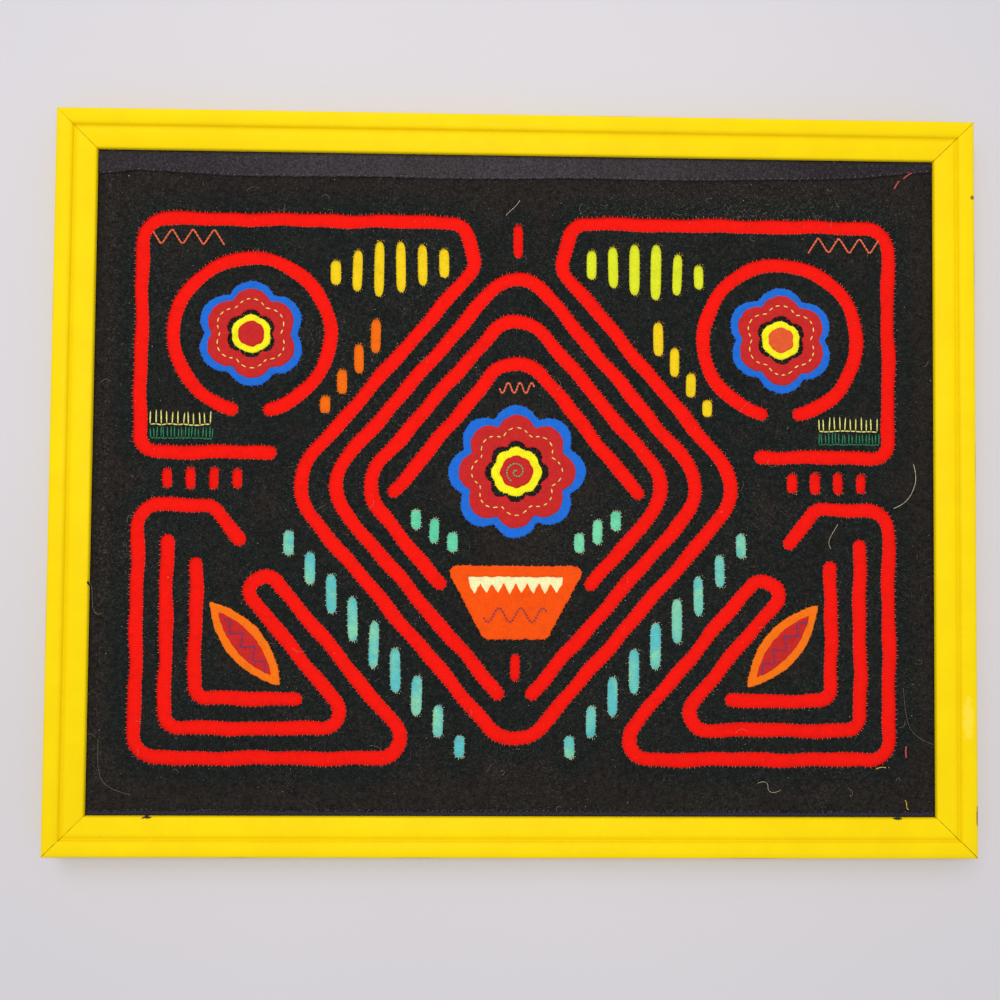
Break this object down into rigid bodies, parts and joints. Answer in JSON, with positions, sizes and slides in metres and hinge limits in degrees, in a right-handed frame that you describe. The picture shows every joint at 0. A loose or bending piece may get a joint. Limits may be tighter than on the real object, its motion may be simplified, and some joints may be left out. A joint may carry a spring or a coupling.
{
  "type": "framed mola panel",
  "caption": "Reverse-appliqué mola cloth panel with cut bands, slots and sewn patches, held flat behind the lip of a mitred, painted wooden frame.",
  "frame": {"origin": "centre of the frame in plan, on the plane its back rests on", "axes": "+Z out of the face, +X to the right and +Y to the top of the panel as seen from the face"},
  "size_m": [0.3758, 0.3016, 0.0128],
  "materials": {
    "black": "plain cotton cloth",
    "blue": "plain cotton cloth",
    "coral": "plain cotton cloth",
    "cream": "plain cotton cloth",
    "gold": "plain cotton cloth",
    "hardboard": "plain brown board",
    "lime": "plain cotton cloth",
    "maroon": "plain cotton cloth",
    "mint": "plain cotton cloth",
    "orange": "plain cotton cloth",
    "orange_border": "plain cotton cloth",
    "red": "plain cotton cloth",
    "turquoise": "plain cotton cloth",
    "violet_grey": "plain cotton cloth",
    "yellow": "plain cotton cloth",
    "yellow_paint": "smooth yellow paint, worn at the corners"
  },
  "bodies": {
    "root": {"rail_top": "yellow_paint", "rail_bottom": "yellow_paint", "rail_left": "yellow_paint", "rail_right": "yellow_paint", "backing_board": "hardboard", "base_cloth": "red", "ground_cloth": "black", "top_strip": "violet_grey", "scrap_top_right": "lime", "scrap_top_left": "gold", "scrap_side_right": "gold", "scrap_side_left": "orange", "scrap_inner_right": "mint", "scrap_inner_left": "mint", "scrap_low_right": "turquoise", "scrap_low_left": "turquoise", "flower_rim": "blue", "flower_petals": "maroon", "flower_ring": "yellow", "flower_middle": "maroon", "left_flower_rim": "blue", "left_flower_petals": "maroon", "left_flower_ring": "yellow", "left_flower_middle": "maroon", "right_flower_rim": "blue", "right_flower_petals": "maroon", "right_flower_ring": "yellow", "right_flower_middle": "coral", "pot": "orange", "pot_trim": "cream", "left_leaf_rim": "orange_border", "left_leaf_middle": "maroon", "right_leaf_rim": "orange_border", "right_leaf_middle": "maroon"}
  },
  "joints": []
}
